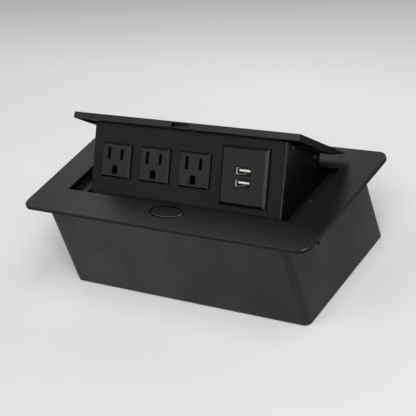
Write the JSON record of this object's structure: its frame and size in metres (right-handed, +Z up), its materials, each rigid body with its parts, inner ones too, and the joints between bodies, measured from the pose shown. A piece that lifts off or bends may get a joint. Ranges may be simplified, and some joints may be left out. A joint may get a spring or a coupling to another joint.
{
  "type": "pop up desk socket",
  "caption": "Flush desk-top power box: a push button frees a sprung lid that swings up and raises a sloping panel of earthed outlets and a USB charger from the housing.",
  "frame": {"origin": "centre of the bottom of the housing, on its underside", "axes": "+X along the plate to the right, +Y to the rear where the lid is hinged, +Z up out of the desk"},
  "size_m": [0.268, 0.118, 0.1231],
  "materials": {
    "coated_steel": "fine grained matt powder coat",
    "coated_lid": "fine grained matt powder coat",
    "coated_button": "fine grained matt powder coat",
    "bright_steel": "satin",
    "spring_steel": "drawn wire",
    "dark_screws": "blackened",
    "outlet_moulding": "satin moulding",
    "dark_plastic": "matt moulding",
    "nylon": "natural nylon",
    "rubber": "matt",
    "contact_brass": "rolled sheet",
    "tongue_white": "moulded",
    "board_green": "solder mask"
  },
  "bodies": {
    "box": {"button_spring": "spring_steel", "cable_grommet": "rubber", "damper_body": "dark_plastic", "damper_screws": "dark_screws", "faceplate": "coated_steel", "guide_screws": "dark_screws", "hinge_bracket_left": "coated_steel", "hinge_bracket_right": "coated_steel", "hinge_shaft": "bright_steel", "housing_shell": "coated_steel", "latch_guide": "dark_plastic", "latch_springs": "spring_steel", "lid_bumpers": "rubber", "plate_nuts": "bright_steel", "shaft_clips": "bright_steel", "stop_pads": "rubber", "torsion_spring_left": "spring_steel", "torsion_spring_right": "spring_steel"},
    "popup": {"cradle": "coated_steel", "lid": "coated_lid", "lid_bracket_left": "coated_steel", "lid_bracket_right": "coated_steel", "lid_screws": "dark_screws", "side_screws": "dark_screws", "back_cover": "coated_steel", "cover_screws": "dark_screws", "pivot_bush_left": "nylon", "pivot_bush_right": "nylon", "sector_gear": "nylon", "gear_rivets": "bright_steel", "strike_plate": "bright_steel", "strike_screws": "bright_steel", "outlet_1": "outlet_moulding", "outlet_2": "outlet_moulding", "outlet_3": "outlet_moulding", "outlet_contacts_1": "contact_brass", "outlet_contacts_2": "contact_brass", "outlet_contacts_3": "contact_brass", "outlet_back_1": "dark_plastic", "outlet_back_2": "dark_plastic", "outlet_back_3": "dark_plastic", "usb_plate": "outlet_moulding", "usb_shells": "bright_steel", "usb_tongues": "tongue_white", "usb_board": "board_green", "usb_screws": "dark_screws", "usb_converter": "dark_plastic"},
    "button": {"button_cap": "coated_button"},
    "latch": {"latch_bolt": "bright_steel"},
    "pinion": {"damper_pinion": "nylon"}
  },
  "joints": [
    {"name": "lid_hinge", "type": "hinge", "parent": "box", "child": "popup", "pos_m": [0, 0.0441, 0.0588], "axis": [1, 0, 0], "range_deg": [0, 46.5], "stiffness_Nm_per_rad": 0.5, "springref_deg": -91.67, "deforming": ["torsion_spring_left", "torsion_spring_right"]},
    {"name": "button_press", "type": "slide", "parent": "box", "child": "button", "axis": [0, 0, -1], "range_m": [0, 0.0015], "stiffness_N_per_m": 400, "springref_m": -0.004, "deforming": ["button_spring"]},
    {"name": "latch_slide", "type": "slide", "parent": "box", "child": "latch", "axis": [0, -1, 0], "range_m": [0, 0.0015], "deforming": ["latch_springs"]},
    {"name": "damper_spin", "type": "hinge", "parent": "box", "child": "pinion", "pos_m": [-0.092, 0.02158, 0.0458], "axis": [1, 0, 0], "range_deg": [-155.1, 0.1]}
  ],
  "couplings": [
    {"joint": "latch_slide", "follows": "button_press", "ratio": 1},
    {"joint": "damper_spin", "follows": "lid_hinge", "ratio": -3.3333}
  ]
}
